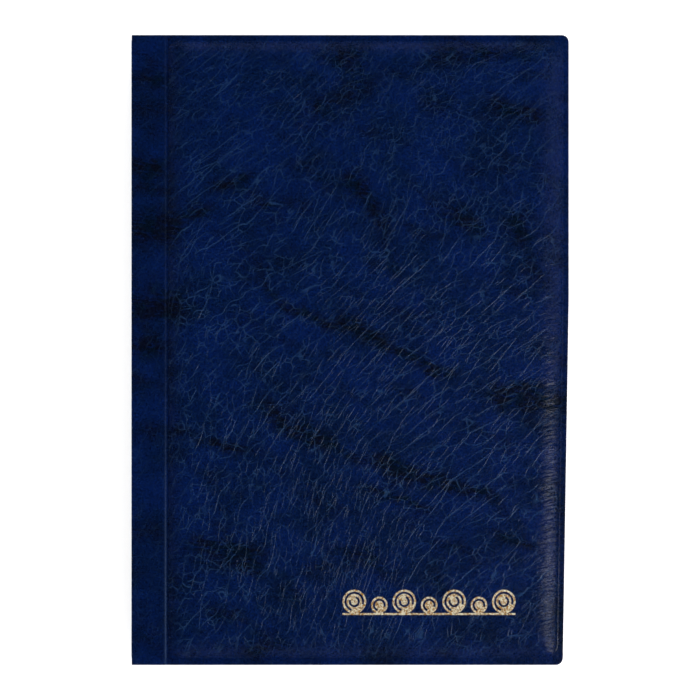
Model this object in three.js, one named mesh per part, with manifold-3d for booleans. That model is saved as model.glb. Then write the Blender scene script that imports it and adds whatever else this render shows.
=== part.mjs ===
// Pocket coin album: a padded PVC cover in three parts (back, spine, front) and eight
// clear pages of coin pockets, welded to a strip inside the spine.
//
// Millimetres, +Z up. The album lies closed on its back cover, with the spine at -X, the
// head of the pages at +Y and the front cover on top. The origin is the centre of the
// footprint, on the surface that the album lies on.

import * as THREE from 'three';
import { mergeVertices } from 'three/addons/utils/BufferGeometryUtils.js';
import Module from 'manifold-3d';

const wasm = await Module();
wasm.setup();

// Overall size, closed.
const WIDTH = 125;
const HEIGHT = 180;
const THICKNESS = 15;

// Layers of a cover, from the inside out.
const LINING = 0.3;
const BOARD = 1.2;
const FOAM = 1.0;
const SKIN = 0.5;
const COVER = LINING + BOARD + FOAM + SKIN;

// Face of a cover: a flat hinge strip, a flat welded rim and a padded field with rounded sides.
const HINGE_STRIP = 10;
const RIM_FORE = 1.8;
const RIM_HEAD = 1.7;
const RIM_FOOT = 2.3;
const PAD_ROUNDING = 4;
const CORNER_RADIUS = 2;
const BOARD_CLEARANCE = 4;
const BOARD_CORNER_RADIUS = 4;
const FOAM_CLEARANCE = 4.5;
const FOAM_ROUNDING = 2;

// Spine, from the outside in. Its skin stops short of the covers by the width of the fold.
const SPINE_BOARD = 0.8;
const BINDING = 0.6;
const FOLD_GAP = 0.05;
const SPINE_BOARD_MARGIN = 0.3;
const SPINE_END_MARGIN = 2;
const BINDING_END_MARGIN = 4;

// Pages. A page hinges where it leaves the binding strip.
const PAGES = 8;
const FILM = 0.25;
const PAGE_HINGE_GAP = 0.2;
const PAGE_MARGIN = 10;
const PAGE_CORNER_RADIUS = 3;
const POCKET_COLUMNS = 3;
const POCKET_ROWS = 4;
const POCKET_WIDTH = 36;
const POCKET_PITCH = 42.5;
const POCKET_MOUTH = 2.5;
const NOTCH_WIDTH = 15;
const NOTCH_DEPTH = 3;

// Foil emblem: large and small plain coins in turn, standing on a thin rule. Each coin is a
// disc cut by open rings, whose places are shares of its radius.
const EMBLEM_RIGHT = 48.2;
const EMBLEM_FOOT = -75.4;
const EMBLEM_LENGTH = 50;
const FOIL = 0.1;
const FOIL_RULE = 0.55;
const COINS = 7;
const LARGE_COIN = { radius: 3.4, rings: [0.74, 0.38] };
const SMALL_COIN = { radius: 2.4, rings: [0.64] };
const RING_CUT = 0.6;
const RING_SWEEP = 1.5 * Math.PI;
const RING_START = -0.1 * Math.PI;
const COIN_SINK = 0.15;

// Places that follow from the sizes above.
const SPINE_X = -WIDTH / 2;
const FORE_X = WIDTH / 2;
const FOOT_Y = -HEIGHT / 2;
const HEAD_Y = HEIGHT / 2;
const INSIDE_LOW = COVER;
const INSIDE_HIGH = THICKNESS - COVER;
const FOLD_X = SPINE_X + SKIN;
const BINDING_X = FOLD_X + SPINE_BOARD + LINING;
const PAGE_X = BINDING_X + BINDING + PAGE_HINGE_GAP;
const PAGE_PITCH = (INSIDE_HIGH - INSIDE_LOW) / PAGES;
const PAGE_WIDTH = PAGE_MARGIN + POCKET_COLUMNS * POCKET_WIDTH;
const PAGE_HEIGHT = POCKET_ROWS * POCKET_PITCH;
const CURVE_STEPS = 3;
const COIN_STEPS = 10;

const material = (color, roughness, extra = {}) =>
  new THREE.MeshStandardMaterial({ color, roughness, metalness: 0, ...extra });

const LEATHERETTE = material(0x0b1b3e, 0.45);
const LINING_PVC = material(0x0a1226, 0.55);
const BOARD_GREY = material(0x8a8378, 0.9);
const FOAM_WHITE = material(0xd9d9d2, 0.95);
const WHITE_PVC = material(0xcfd2d4, 0.5);
const CLEAR_PVC = material(0xdfe8ee, 0.15, { transparent: true, opacity: 0.35 });
const GOLD_FOIL = material(0xc9a95c, 0.35, { metalness: 1 });

// Solids. Booleans work on positions only, so the other attributes go first.

function toSolid(geometry) {
  const bare = geometry.clone();
  bare.deleteAttribute('normal');
  bare.deleteAttribute('uv');
  const merged = mergeVertices(bare, 1e-4);
  return new wasm.Manifold(new wasm.Mesh({
    numProp: 3,
    vertProperties: new Float32Array(merged.attributes.position.array),
    triVerts: new Uint32Array(merged.index.array),
  }));
}

function toGeometry(solid) {
  const { vertProperties, triVerts } = solid.getMesh();
  const geometry = new THREE.BufferGeometry();
  geometry.setAttribute('position', new THREE.BufferAttribute(vertProperties, 3));
  geometry.setIndex(new THREE.BufferAttribute(triVerts, 1));
  geometry.computeVertexNormals();
  return geometry;
}

// A rectangle is { left, right, foot, head }.

const inset = (rect, by) => ({
  left: rect.left + by,
  right: rect.right - by,
  foot: rect.foot + by,
  head: rect.head - by,
});

function box(rect, zA, zB) {
  const width = rect.right - rect.left;
  const length = rect.head - rect.foot;
  const geometry = new THREE.BoxGeometry(width, length, Math.abs(zB - zA));
  return geometry.translate(rect.left + width / 2, rect.foot + length / 2, (zA + zB) / 2);
}

// An outline from the foot of its left side round to the head of it, with rounded corners on the right.
function roundedRight(rect, radius) {
  const outline = new THREE.Shape();
  outline.moveTo(rect.left, rect.foot);
  outline.lineTo(rect.right - radius, rect.foot);
  outline.absarc(rect.right - radius, rect.foot + radius, radius, -Math.PI / 2, 0);
  outline.lineTo(rect.right, rect.head - radius);
  outline.absarc(rect.right - radius, rect.head - radius, radius, 0, Math.PI / 2);
  outline.lineTo(rect.left, rect.head);
  return outline;
}

// A sheet whose two corners away from the spine are rounded.
function sheet(rect, zA, zB, radius) {
  const outline = roundedRight(rect, radius);
  outline.closePath();
  return extrude(outline, zA, zB);
}

// A plate with four rounded corners.
function plate(rect, zA, zB, radius) {
  const outline = roundedRight({ ...rect, left: rect.left + radius }, radius);
  outline.absarc(rect.left + radius, rect.head - radius, radius, Math.PI / 2, Math.PI);
  outline.lineTo(rect.left, rect.foot + radius);
  outline.absarc(rect.left + radius, rect.foot + radius, radius, Math.PI, 1.5 * Math.PI);
  return extrude(outline, zA, zB);
}

function extrude(outline, zA, zB) {
  const geometry = new THREE.ExtrudeGeometry(outline, {
    depth: Math.abs(zB - zA),
    curveSegments: CURVE_STEPS,
    bevelEnabled: false,
  });
  return geometry.translate(0, 0, Math.min(zA, zB));
}

// A block whose sides round over, by a quarter ellipse, from its base to its face.
function crownedBlock(rect, zBase, zFace, rounding) {
  const height = Math.abs(zFace - zBase);
  const width = rect.right - rect.left;
  const length = rect.head - rect.foot;
  const geometry = new THREE.BoxGeometry(width, length, height, 1, 1, CURVE_STEPS);
  const position = geometry.attributes.position;
  for (let i = 0; i < position.count; i += 1) {
    const rise = position.getZ(i) * Math.sign(zFace - zBase) / height + 0.5;
    const pull = rounding * (1 - Math.sqrt(Math.max(0, 1 - rise * rise)));
    position.setX(i, position.getX(i) - Math.sign(position.getX(i)) * pull);
    position.setY(i, position.getY(i) - Math.sign(position.getY(i)) * pull);
  }
  const centreX = rect.left + width / 2;
  const centreY = rect.foot + length / 2;
  return geometry.translate(centreX, centreY, (zBase + zFace) / 2);
}

const album = new THREE.Group();

function place(parent, name, geometry, finish) {
  const mesh = new THREE.Mesh(geometry, finish.clone());
  mesh.name = name;
  parent.add(mesh);
}

// Covers. level(d) is the height of the surface d outwards from the cover's inside face.

const COVER_SHEET = { left: FOLD_X + FOLD_GAP, right: FORE_X, foot: FOOT_Y, head: HEAD_Y };
const FIELD = {
  left: SPINE_X + HINGE_STRIP,
  right: FORE_X - RIM_FORE,
  foot: FOOT_Y + RIM_FOOT,
  head: HEAD_Y - RIM_HEAD,
};

function coverSkin(level) {
  const flat = toSolid(sheet(COVER_SHEET, level(LINING), level(LINING + SKIN), CORNER_RADIUS));
  const pad = toSolid(crownedBlock(FIELD, level(LINING), level(COVER), PAD_ROUNDING));
  const hollowRect = inset(FIELD, SKIN);
  const hollow = toSolid(
    crownedBlock(hollowRect, level(LINING), level(COVER - SKIN), PAD_ROUNDING - SKIN),
  );
  return toGeometry(flat.add(pad).subtract(hollow));
}

function addCover(name, level) {
  const boardTop = LINING + BOARD;
  const boardRect = inset(FIELD, SKIN + BOARD_CLEARANCE);
  const foamRect = inset(FIELD, SKIN + FOAM_CLEARANCE);
  const foam = crownedBlock(foamRect, level(boardTop), level(boardTop + FOAM), FOAM_ROUNDING);
  const board = plate(boardRect, level(LINING), level(boardTop), BOARD_CORNER_RADIUS);
  const lining = sheet(COVER_SHEET, level(0), level(LINING), CORNER_RADIUS);
  place(album, `${name}_skin`, coverSkin(level), LEATHERETTE);
  place(album, `${name}_foam`, foam, FOAM_WHITE);
  place(album, `${name}_board`, board, BOARD_GREY);
  place(album, `${name}_lining`, lining, LINING_PVC);
}

// Spine: sheets that stand on edge, so each is a box over a range of X and of height.

function upright(xA, xB, endMargin, low, high) {
  const rect = { left: xA, right: xB, foot: FOOT_Y + endMargin, head: HEAD_Y - endMargin };
  return box(rect, low, high);
}

function addSpine() {
  const skinLow = INSIDE_LOW - LINING + FOLD_GAP;
  const skinHigh = INSIDE_HIGH + LINING - FOLD_GAP;
  const low = INSIDE_LOW + SPINE_BOARD_MARGIN;
  const high = INSIDE_HIGH - SPINE_BOARD_MARGIN;
  const boardInside = FOLD_X + SPINE_BOARD;
  const skin = upright(SPINE_X, FOLD_X, 0, skinLow, skinHigh);
  const board = upright(FOLD_X, boardInside, SPINE_END_MARGIN, low, high);
  const lining = upright(boardInside, BINDING_X, SPINE_END_MARGIN, low, high);
  const binding = upright(BINDING_X, BINDING_X + BINDING, BINDING_END_MARGIN, low, high);
  place(album, 'spine_skin', skin, LEATHERETTE);
  place(album, 'spine_board', board, BOARD_GREY);
  place(album, 'spine_lining', lining, LINING_PVC);
  place(album, 'binding_strip', binding, WHITE_PVC);
}

// Pages, each in its own frame: the hinge line is at X = 0 and the film is centred on Z = 0.

function pocketStrip(row) {
  const foot = -PAGE_HEIGHT / 2 + row * POCKET_PITCH;
  const head = foot + POCKET_PITCH - POCKET_MOUTH;
  const notchRadius = (NOTCH_WIDTH ** 2 / 4 + NOTCH_DEPTH ** 2) / (2 * NOTCH_DEPTH);
  const notchY = head - NOTCH_DEPTH + notchRadius;
  const halfAngle = Math.asin(NOTCH_WIDTH / 2 / notchRadius);
  const outline = new THREE.Shape();
  outline.moveTo(PAGE_MARGIN, foot);
  outline.lineTo(PAGE_WIDTH, foot);
  outline.lineTo(PAGE_WIDTH, head);
  for (let column = POCKET_COLUMNS - 1; column >= 0; column -= 1) {
    const middle = PAGE_MARGIN + (column + 0.5) * POCKET_WIDTH;
    const start = -Math.PI / 2 + halfAngle;
    const end = -Math.PI / 2 - halfAngle;
    outline.lineTo(middle + NOTCH_WIDTH / 2, head);
    outline.absarc(middle, notchY, notchRadius, start, end, true);
  }
  outline.lineTo(PAGE_MARGIN, head);
  outline.closePath();
  return extrude(outline, FILM / 2, FILM * 3 / 2);
}

// Page 1 is next to the front cover. Row 1 is at the head of the page.
function addPage(number) {
  const slot = PAGES - number;
  const spare = PAGE_PITCH - 2 * FILM;
  const page = new THREE.Group();
  page.position.set(PAGE_X, 0, INSIDE_LOW + slot * PAGE_PITCH + spare / 2 + FILM / 2);
  const rect = { left: 0, right: PAGE_WIDTH, foot: -PAGE_HEIGHT / 2, head: PAGE_HEIGHT / 2 };
  const film = sheet(rect, -FILM / 2, FILM / 2, PAGE_CORNER_RADIUS);
  place(page, `page_${number}_film`, film, CLEAR_PVC);
  for (let row = 1; row <= POCKET_ROWS; row += 1) {
    const strip = pocketStrip(POCKET_ROWS - row);
    place(page, `page_${number}_pockets_row_${row}`, strip, CLEAR_PVC);
  }
  album.add(page);
}

// Emblem: the cuts in a coin stop short of a full turn, so that it stays in one piece.

function coin(x, y, { radius, rings }) {
  const outline = new THREE.Shape();
  outline.absarc(x, y, radius, 0, 2 * Math.PI);
  rings.forEach((share, index) => {
    const start = RING_START + index * Math.PI;
    const end = start + RING_SWEEP;
    const cut = new THREE.Path();
    cut.absarc(x, y, share * radius + RING_CUT / 2, start, end, false);
    cut.absarc(x, y, share * radius - RING_CUT / 2, end, start, true);
    cut.closePath();
    outline.holes.push(cut);
  });
  return new THREE.ExtrudeGeometry(outline, {
    depth: FOIL,
    curveSegments: COIN_STEPS,
    bevelEnabled: false,
  });
}

function addEmblem() {
  const coins = Array.from({ length: COINS }, (_, i) => (i % 2 ? SMALL_COIN : LARGE_COIN));
  const widths = coins.reduce((sum, { radius }) => sum + 2 * radius, 0);
  const gap = (EMBLEM_LENGTH - widths) / (COINS - 1);
  const left = EMBLEM_RIGHT - EMBLEM_LENGTH;
  const ruleTop = EMBLEM_FOOT + FOIL_RULE;
  const rule = { left, right: EMBLEM_RIGHT, foot: EMBLEM_FOOT, head: ruleTop };
  let solid = toSolid(box(rule, 0, FOIL));
  let edge = left;
  for (const kind of coins) {
    solid = solid.add(toSolid(coin(edge + kind.radius, ruleTop - COIN_SINK + kind.radius, kind)));
    edge += 2 * kind.radius + gap;
  }
  place(album, 'foil_emblem', toGeometry(solid).translate(0, 0, THICKNESS), GOLD_FOIL);
}

addCover('front_cover', (d) => INSIDE_HIGH + d);
addCover('back_cover', (d) => INSIDE_LOW - d);
addSpine();
for (let number = 1; number <= PAGES; number += 1) {
  addPage(number);
}
addEmblem();

export default album;
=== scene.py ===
"""Looks of a pocket coin album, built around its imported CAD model.

Metres, in the CAD frame: the spine is at -X, the head of the pages at +Y, and the front cover on top.
Lengths are written as millimetres times MM. "cloth" coordinates are in millimetres on the flat,
unfolded sheet that wraps the covers and the spine, so that its pattern runs on across the folds.
"""

import math

import bmesh
import bpy
import numpy as np
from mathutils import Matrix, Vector


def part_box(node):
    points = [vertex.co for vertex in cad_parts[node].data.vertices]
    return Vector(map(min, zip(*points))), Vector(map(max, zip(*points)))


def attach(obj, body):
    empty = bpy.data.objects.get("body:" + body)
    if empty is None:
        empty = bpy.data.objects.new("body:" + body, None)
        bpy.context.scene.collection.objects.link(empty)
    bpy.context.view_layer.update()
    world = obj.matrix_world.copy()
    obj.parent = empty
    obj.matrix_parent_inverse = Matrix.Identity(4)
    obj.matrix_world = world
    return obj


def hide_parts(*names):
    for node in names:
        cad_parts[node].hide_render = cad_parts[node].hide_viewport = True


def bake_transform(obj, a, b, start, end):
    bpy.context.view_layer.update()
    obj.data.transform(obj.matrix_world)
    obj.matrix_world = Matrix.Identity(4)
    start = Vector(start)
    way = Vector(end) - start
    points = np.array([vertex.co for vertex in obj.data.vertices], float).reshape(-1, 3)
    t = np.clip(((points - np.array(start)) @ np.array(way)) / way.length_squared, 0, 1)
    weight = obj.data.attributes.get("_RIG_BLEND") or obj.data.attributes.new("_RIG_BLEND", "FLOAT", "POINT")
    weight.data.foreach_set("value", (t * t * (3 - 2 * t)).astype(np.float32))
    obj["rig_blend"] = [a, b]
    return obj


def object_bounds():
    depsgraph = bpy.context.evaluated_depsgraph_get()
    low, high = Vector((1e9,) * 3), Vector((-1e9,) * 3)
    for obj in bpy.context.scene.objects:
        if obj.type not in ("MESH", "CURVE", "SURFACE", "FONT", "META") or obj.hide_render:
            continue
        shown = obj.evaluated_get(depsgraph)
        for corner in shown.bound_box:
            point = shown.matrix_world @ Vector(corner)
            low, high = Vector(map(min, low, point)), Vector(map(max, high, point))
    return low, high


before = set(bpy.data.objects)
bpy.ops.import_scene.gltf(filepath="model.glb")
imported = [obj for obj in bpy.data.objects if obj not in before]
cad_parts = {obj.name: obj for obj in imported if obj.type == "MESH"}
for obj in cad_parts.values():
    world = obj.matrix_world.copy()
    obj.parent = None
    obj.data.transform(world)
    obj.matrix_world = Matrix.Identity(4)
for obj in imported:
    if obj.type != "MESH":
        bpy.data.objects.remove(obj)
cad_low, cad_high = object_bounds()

MM = 0.001
SHARP_ANGLE = 40

# Places that the frame gives.
skin_low, skin_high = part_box("front_cover_skin")
spine_low, spine_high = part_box("spine_skin")
front_lining_low, front_lining_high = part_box("front_cover_lining")
back_lining_low, back_lining_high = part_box("back_cover_lining")
binding_low, binding_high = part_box("binding_strip")
foil_low, foil_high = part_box("foil_emblem")
SPINE_X, FOLD_X = spine_low.x, spine_high.x
FORE_X, FOOT_Y, HEAD_Y = skin_high.x, skin_low.y, skin_high.y
MIDDLE_Z = (spine_low.z + spine_high.z) / 2
SHEET_Z, FACE_Z = skin_low.z, skin_high.z
BOARD_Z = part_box("front_cover_board")[1].z
SKIN = FOLD_X - SPINE_X
PAGES = sum(name.endswith("_film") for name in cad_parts)

# Cover: the padded field, the rolls of its four sides, and the welds round it.
PAD_LEFT = SPINE_X + 10.5 * MM
PAD_RIGHT = FORE_X - 1.8 * MM
PAD_FOOT = FOOT_Y + 2.3 * MM
PAD_HEAD = HEAD_Y - 1.7 * MM
ROLL_SPINE, ROLL_FORE, ROLL_FOOT, ROLL_HEAD = 8.0 * MM, 8.5 * MM, 8.0 * MM, 6.5 * MM
ROLL_POWER = 0.7
PAD_LIFT = FACE_Z - SHEET_Z - SKIN
CORNER_RADIUS = 2 * MM
FORE_LEAN = 1.7 * MM
LEAN_FROM_Y = 14 * MM
GROOVE_X = PAD_LEFT - 0.3 * MM
GROOVE_DEPTH = 0.115 * MM
GROOVE_HALF = 0.42 * MM
RIM_PRESS = 0.06 * MM
EDGE_ROUND = 0.3 * MM
EDGE_DROP = 0.035 * MM

# Steps of the leatherette's mesh across its rolls and its welded rims.
ROLL_STEP = 0.36 * MM
RIM_STEP = 0.4 * MM

# Seeds of the noises. Each use takes the next few numbers too.
FRONT_SEED, BACK_SEED, SMOKE_SEED, PAGE_SEED, FOIL_SEED = 11, 23, 41, 60, 81

# Direction of the leather's creases and of its smoky streaks, anticlockwise from +X.
CREASE_ANGLE = math.radians(48)
SMOKE_ANGLE = math.radians(-24)

# Smoky streaks of the front cover, in millimetres and degrees: x, y, length, width, angle, depth.
FRONT_STREAKS = (
    (-11, 9.5, 22, 3.0, -21, 0.8),
    (3, 6, 16, 4.2, -20, 1.0),
    (15, -1, 22, 3.4, -26, 0.9),
    (26, -6, 9, 3.6, -20, 0.9),
    (-20, -20, 14, 4.0, -40, 0.8),
    (-10, -25, 14, 5.0, -32, 1.0),
    (0, -30, 16, 3.0, -28, 0.6),
    (12, -33, 12, 6.0, -24, 0.9),
    (20, -36, 18, 5.5, -14, 1.0),
    (34, -40, 20, 3.2, -12, 0.8),
    (14, -42, 24, 3.6, -20, 0.8),
    (48, -11, 16, 5.0, 10, 0.7),
    (51, -14, 26, 7.5, -8, 1.0),
    (48, -54, 16, 3.2, -15, 0.8),
    (-5, 71, 16, 6.0, 8, 0.6),
    (2, 76, 12, 8.0, -30, 0.55),
    (0, 84, 10, 5.0, 0, 0.5),
    (33, 83, 28, 5.0, 3, 0.65),
    (25, 70, 12, 7.0, -10, 0.6),
    (47, 68, 20, 7.5, -8, 0.8),
    (52, 78, 12, 4.0, 0, 0.5),
    (2, 47, 10, 6.0, -50, 0.8),
    (8, 38, 16, 6.0, -62, 0.7),
    (12, 25, 12, 4.0, -70, 0.5),
    (33, 37, 14, 6.0, -45, 0.7),
    (48, 35, 11, 6.5, -45, 0.9),
    (53, 23, 14, 5.0, -60, 0.6),
    (-34, 48, 14, 3.5, 20, 0.8),
    (-44, 39, 11, 5.0, 10, 0.8),
    (-20, 42, 20, 5.0, 0, 0.5),
    (-12, 54, 16, 4.0, 15, 0.4),
    (-22, 17, 12, 3.0, -50, 0.7),
    (-20, 25, 16, 5.0, -10, 0.4),
    (-37, -27, 16, 3.2, -12, 0.8),
    (-48, -23, 10, 3.0, -5, 0.6),
    (-35, -57, 24, 5.5, -8, 0.9),
    (-29, -61, 12, 4.0, -30, 0.7),
    (2, -59, 18, 6.0, -20, 0.7),
    (-8, -62, 10, 4.0, 0, 0.5),
    (-16, -70, 12, 6.0, -30, 0.5),
    (-36, -75, 12, 6.0, -10, 0.6),
    (-26, -85, 12, 5.0, 10, 0.6),
    (26, -66, 14, 5.0, -60, 0.4),
    (-47, -67, 10, 8.0, 0, 0.5),
    (-57, 77, 13, 6.0, 0, 0.7),
    (-57, 69, 13, 4.0, 0, 0.4),
    (-58.5, 52, 11, 6.5, -5, 1.0),
    (-56, 46, 12, 4.0, -15, 0.6),
    (-55, 35, 16, 9.0, -5, 0.95),
    (-55, 12, 20, 9.0, 0, 1.0),
    (-58.5, 1, 12, 6.5, -5, 0.9),
    (-58, -10, 12, 5.0, 0, 0.4),
    (-58.5, -23, 11, 5.0, 0, 0.6),
    (-58, -52, 11, 7.0, -5, 0.5),
    (-58, -80, 11, 9.0, -5, 0.3),
)

# Frosted welds of the pages, in cloth coordinates: millimetres from the film's root and foot.
POCKETS_START, POCKET_WIDTH, POCKET_PITCH = 10.0, 36.0, 42.5
WELD_FADE = (0.75, 1.05)
WELD_REACH = 1.2

# Pages.
FILM = 0.2 * MM
PAGE_CORNER_RADIUS = 3 * MM
POCKET_COLUMNS = 3
PILLOW = 0.3 * MM
WELD_HALF = 0.9 * MM
NOTCH_WIDTH = 15 * MM
NOTCH_DEPTH = 3 * MM
BEAD_RADIUS = 0.3 * MM

# Foil emblem, laid out as the CAD emblem is.
FOIL_STEP = 0.1 * MM
FOIL_THICK = 0.07 * MM
FOIL_RULE = 0.55 * MM
LARGE_COIN = (3.4 * MM, (0.74, 0.38))
SMALL_COIN = (2.4 * MM, (0.64,))
COINS = 7
RING_CUT = 0.6 * MM
RING_SWEEP = 1.5 * math.pi
RING_START = -0.1 * math.pi
COIN_SINK = 0.15 * MM


# ---------------------------------------------------------------- shapes in numbers


class Noise:
    """Smooth noise over the plane, about -1 to 1, the same for the same seed."""

    SIZE = 64

    def __init__(self, seed):
        angle = np.random.default_rng(seed).uniform(0, 2 * np.pi, (self.SIZE, self.SIZE))
        self.across, self.along = np.cos(angle), np.sin(angle)

    def __call__(self, x, y):
        column, row = np.floor(x).astype(int), np.floor(y).astype(int)
        fx, fy = x - column, y - row

        def corner(dx, dy):
            at = ((column + dx) % self.SIZE, (row + dy) % self.SIZE)
            return self.across[at] * (fx - dx) + self.along[at] * (fy - dy)

        sx, sy = (f * f * f * (f * (6 * f - 15) + 10) for f in (fx, fy))
        low = corner(0, 0) * (1 - sx) + corner(1, 0) * sx
        high = corner(0, 1) * (1 - sx) + corner(1, 1) * sx
        return 1.4 * (low * (1 - sy) + high * sy)


def smooth(low, high, value):
    t = np.clip((value - low) / (high - low), 0, 1)
    return t * t * (3 - 2 * t)


def turned(x, y, angle):
    """The coordinates along and across a direction."""
    c, s = math.cos(angle), math.sin(angle)
    return x * c + y * s, y * c - x * s


def stations(*stops):
    """Places along a line. Each stop after the first is (end, step), with steps no longer than that."""
    places = [stops[0]]
    for end, step in stops[1:]:
        count = max(1, math.ceil(abs(end - places[-1]) / step - 1e-6))
        places += list(np.linspace(places[-1], end, count + 1)[1:])
    return np.array(places)


def rounded(x, y, radius, fore, head):
    """Moves the points of the two corner squares away from the spine into quarter discs."""
    a = (x - (fore - radius)) / radius
    b = (np.abs(y) - (head - radius)) / radius
    inside = (a > 0) & (b > 0)
    a, b = np.where(inside, a, 0), np.where(inside, b, 0)
    new_x = np.where(inside, fore - radius + radius * a * np.sqrt(1 - b * b / 2), x)
    new_y = np.where(inside, np.sign(y) * (head - radius + radius * b * np.sqrt(1 - a * a / 2)), y)
    return new_x, new_y


def leaned(x, y):
    """Draws the fore edge in towards the foot, as the soft sheet has shrunk along that weld."""
    share = np.clip((LEAN_FROM_Y - y) / (LEAN_FROM_Y - FOOT_Y), 0, 1)
    return x - FORE_LEAN * share * ((x - SPINE_X) / (FORE_X - SPINE_X)) ** 2


def pad_rise(x, y, inset=0.0):
    """How far the padding has risen: 0 on the welds round the field, 1 on its flat middle."""
    across = np.maximum(
        1 - (x - PAD_LEFT - inset) / ROLL_SPINE, 1 - (PAD_RIGHT - inset - x) / ROLL_FORE
    )
    along = np.maximum(
        1 - (y - PAD_FOOT - inset) / ROLL_FOOT, 1 - (PAD_HEAD - inset - y) / ROLL_HEAD
    )
    outward = (np.clip(across, 0, 1) ** 5 + np.clip(along, 0, 1) ** 5) ** 0.2
    return np.sin(np.pi / 2 * np.clip(1 - outward, 0, 1) ** ROLL_POWER)


class Cover:
    """The outer surface of one cover, as a thickness over the inside face of its sheet."""

    def __init__(self, seed, resting):
        self.resting = resting
        self.gathers, self.puckers, self.swell, self.lumps = (Noise(seed + i) for i in range(4))

    def wrinkles(self, x, y):
        x, y = x / MM, y / MM
        from_fore = PAD_RIGHT / MM - x
        towards_foot = 0.3 + 0.7 * smooth(25, -55, y)
        near_fore = smooth(11, 2.5, from_fore) * towards_foot
        gathers = self.gathers(x / 8 + 9, y / 3.1)
        gathers += 0.5 * self.gathers(x / 5 + y / 9, y / 1.7)
        along, across = turned(x, y, CREASE_ANGLE)
        near_ends = np.maximum(smooth(9, 2, y - FOOT_Y / MM), 0.6 * smooth(8, 2, HEAD_Y / MM - y))
        puckers = self.puckers(x / 2.6, y / 7) * near_ends
        lumps = self.lumps(along / 7, across / 2.4)
        swell = self.swell(x / 30, y / 24)
        return (0.17 * near_fore * gathers + 0.07 * puckers + 0.035 * lumps + 0.05 * swell) * MM

    def thickness(self, x, y, from_edge):
        """from_edge is the distance to the sheet's cut edge."""
        rise = pad_rise(x, y)
        on_rim = np.maximum(y > PAD_HEAD, y < PAD_FOOT) | (x > PAD_RIGHT)
        flat = SKIN - RIM_PRESS * on_rim
        groove = np.exp(-(((x - GROOVE_X) / GROOVE_HALF) ** 4))
        inside = smooth(PAD_FOOT - 0.6 * MM, PAD_FOOT, y) * smooth(PAD_HEAD + 0.6 * MM, PAD_HEAD, y)
        flat = flat - GROOVE_DEPTH * groove * inside
        edge = np.clip(1 - from_edge / EDGE_ROUND, 0, 1) ** 2
        thick = flat + rise * (PAD_LIFT + self.wrinkles(x, y)) - EDGE_DROP * edge
        if self.resting:
            thick = np.minimum(thick, FACE_Z - SHEET_Z)
        return thick


def darkening(u, v, streaks):
    """The dark smoky print on the sheet, from 0 to 1. u and v are in millimetres."""
    bend, haze, wisps = (Noise(SMOKE_SEED + i) for i in range(3))
    along, across = turned(u, v, SMOKE_ANGLE)
    cloud = haze(along / 24, across / 9) + 0.6 * haze(along / 8 + 5, across / 3.4)
    clear = 1 - 0.5 * smooth(-0.1, 1.0, cloud)
    for x, y, length, width, angle, depth in streaks:
        du, dv = turned(u - x, v - y, math.radians(angle))
        dv = dv + 1.2 * bend(u / 9, v / 9) + 0.7 * bend(u / 3, v / 3)
        swelling = width * (1 + 0.5 * wisps(u / 5, v / 5))
        mask = np.exp(-((2 * du / length) ** 4) - ((2 * dv / swelling) ** 2))
        clear = clear * (1 - depth * mask)
    return 1 - clear


# ---------------------------------------------------------------- meshes


class Builder:
    """Collects points, faces and point attributes, and makes one mesh object of them."""

    def __init__(self):
        self.points, self.faces, self.attributes = [], [], {}
        self.count = 0

    def add(self, points, **attributes):
        """Adds points and returns their indices, in the same shape."""
        shape = points.shape[:-1]
        total = int(np.prod(shape))
        self.points.append(points.reshape(-1, 3))
        for name, values in attributes.items():
            width = 3 if name == "cloth" else 1
            self.attributes.setdefault(name, []).append(np.asarray(values).reshape(total, width))
        self.count += total
        return np.arange(self.count - total, self.count).reshape(shape)

    def grid(self, index, flip=False):
        quads = np.stack([index[:-1, :-1], index[:-1, 1:], index[1:, 1:], index[1:, :-1]], -1)
        quads = quads.reshape(-1, 4)
        self.faces += (quads[:, ::-1] if flip else quads).tolist()

    def sheet(self, top, bottom, **attributes):
        """A closed sheet between two grids of the same size."""
        upper = self.add(top, **attributes)
        lower = self.add(bottom, **attributes)
        self.grid(upper)
        self.grid(lower, flip=True)
        rim = lambda g: np.concatenate([g[0, :-1], g[:-1, -1], g[-1, :0:-1], g[:0:-1, 0]])
        a, b = rim(upper), rim(lower)
        self.grid(np.stack([np.append(b, b[0]), np.append(a, a[0])]))

    def finish(self, name, material, fill=False):
        mesh = bpy.data.meshes.new(name)
        mesh.from_pydata(np.concatenate(self.points).tolist(), [], self.faces)
        for key, parts in self.attributes.items():
            kind = "FLOAT_VECTOR" if key == "cloth" else "FLOAT"
            values = np.concatenate(parts).astype(np.float32).ravel()
            layer = mesh.attributes.new(key, kind, "POINT")
            layer.data.foreach_set("vector" if key == "cloth" else "value", values)
        work = bmesh.new()
        work.from_mesh(mesh)
        if fill:
            open_edges = [edge for edge in work.edges if edge.is_boundary]
            bmesh.ops.triangle_fill(work, edges=open_edges, use_beauty=True)
        bmesh.ops.recalc_face_normals(work, faces=work.faces)
        work.to_mesh(mesh)
        work.free()
        mesh.shade_smooth()
        mesh.set_sharp_from_angle(angle=math.radians(SHARP_ANGLE))
        mesh.materials.append(material)
        piece = bpy.data.objects.new(name, mesh)
        bpy.context.scene.collection.objects.link(piece)
        return piece


def in_3d(x, y, z):
    x, y, z = np.broadcast_arrays(x, y, z)
    return np.stack([x, y, z], -1)


def mirrored(points):
    """The same points for the back of the album."""
    return points * [1, 1, -1] + [0, 0, 2 * MIDDLE_Z]


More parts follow.
